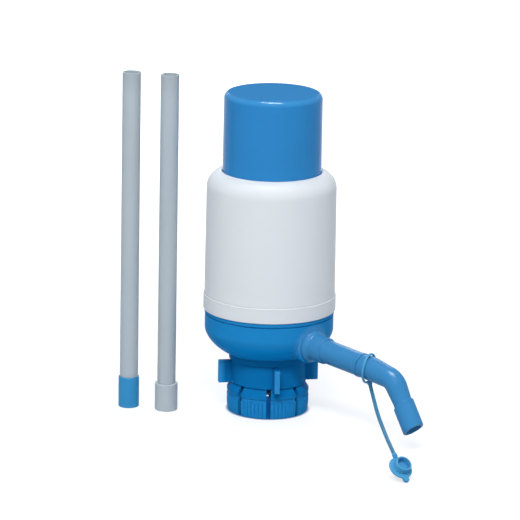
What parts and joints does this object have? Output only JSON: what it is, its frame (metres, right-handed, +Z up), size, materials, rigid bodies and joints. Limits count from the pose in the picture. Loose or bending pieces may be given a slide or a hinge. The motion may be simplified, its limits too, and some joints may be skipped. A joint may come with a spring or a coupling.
{
  "type": "water jug hand pump",
  "caption": "Manual air pump for a large water jug: press button on a white barrel, blue base with clamp collar and swivelling spout, tethered cap and two loose dip tubes.",
  "frame": {"origin": "centre of the collet's mouth, on the plane that the pump stands on", "axes": "+Z up along the pump's axis, +X towards the spout"},
  "size_m": [0.2847, 0.1376, 0.264],
  "materials": {
    "base_blue": "gloss moulded plastic",
    "spout_blue": "gloss moulded plastic",
    "button_blue": "gloss moulded plastic",
    "tether_blue": "soft moulded plastic",
    "barrel_white": "satin moulded plastic",
    "inner_white": "natural moulded plastic",
    "tube_frosted": "translucent frosted tube",
    "coupler_blue": "gloss moulded plastic",
    "coupler_clear": "translucent moulded plastic",
    "seal_rubber": "soft silicone rubber",
    "spring_steel": "drawn wire"
  },
  "bodies": {
    "pump_base": {"base_bowl": "base_blue", "water_duct": "base_blue", "neck_collet": "base_blue", "jug_gasket": "seal_rubber", "outlet_pipe": "spout_blue", "barrel": "barrel_white", "plate_seal": "seal_rubber", "valve_plate": "inner_white", "bellows": "inner_white", "return_spring": "spring_steel"},
    "collar": {"clamp_collar": "base_blue"},
    "button": {"press_button": "button_blue", "bellows_cap": "inner_white"},
    "intake_flap": {"intake_valve": "seal_rubber"},
    "outlet_flap": {"outlet_valve": "seal_rubber"},
    "spout": {"spout_elbow": "spout_blue", "spout_o_ring": "seal_rubber", "spout_tip": "spout_blue"},
    "tether": {"tether_ring": "tether_blue", "cap_strap": "tether_blue", "dust_cap": "tether_blue"},
    "long_tube_1": {"dip_tube_1": "tube_frosted", "tube_coupler_blue": "coupler_blue"},
    "long_tube_2": {"dip_tube_2": "tube_frosted", "tube_coupler_white": "coupler_clear"}
  },
  "joints": [
    {"name": "button_press", "type": "slide", "parent": "pump_base", "child": "button", "axis": [0, 0, -1], "range_m": [0, 0.048], "stiffness_N_per_m": 260, "springref_m": -0.02, "deforming": ["bellows", "return_spring"]},
    {"name": "collar_turn", "type": "hinge", "parent": "pump_base", "child": "collar", "pos_m": [0, 0, 0.0321], "axis": [0, 0, -1], "range_deg": [0, 150]},
    {"name": "spout_swivel", "type": "hinge", "parent": "pump_base", "child": "spout", "pos_m": [0.10298, 0, 0.05694], "axis": [0.9979, 0, -0.0645], "range_deg": [-90, 90]},
    {"name": "tether_swing", "type": "hinge", "parent": "pump_base", "child": "tether", "pos_m": [0.10897, 0, 0.05655], "axis": [-0.9979, 0, 0.0645], "range_deg": [0, 110]},
    {"name": "intake_valve_lift", "type": "slide", "parent": "button", "child": "intake_flap", "axis": [0, 0, -1], "range_m": [0, 0.0015], "stiffness_N_per_m": 30, "springref_m": -0.001},
    {"name": "outlet_valve_lift", "type": "slide", "parent": "pump_base", "child": "outlet_flap", "axis": [0, 0, -1], "range_m": [0, 0.0015], "stiffness_N_per_m": 30, "springref_m": -0.001},
    {"name": "tube_1_lift", "type": "slide", "parent": "pump_base", "child": "long_tube_1", "axis": [0, 0, 1], "range_m": [0, 0.3]},
    {"name": "tube_2_lift", "type": "slide", "parent": "pump_base", "child": "long_tube_2", "axis": [0, 0, 1], "range_m": [0, 0.3]}
  ]
}
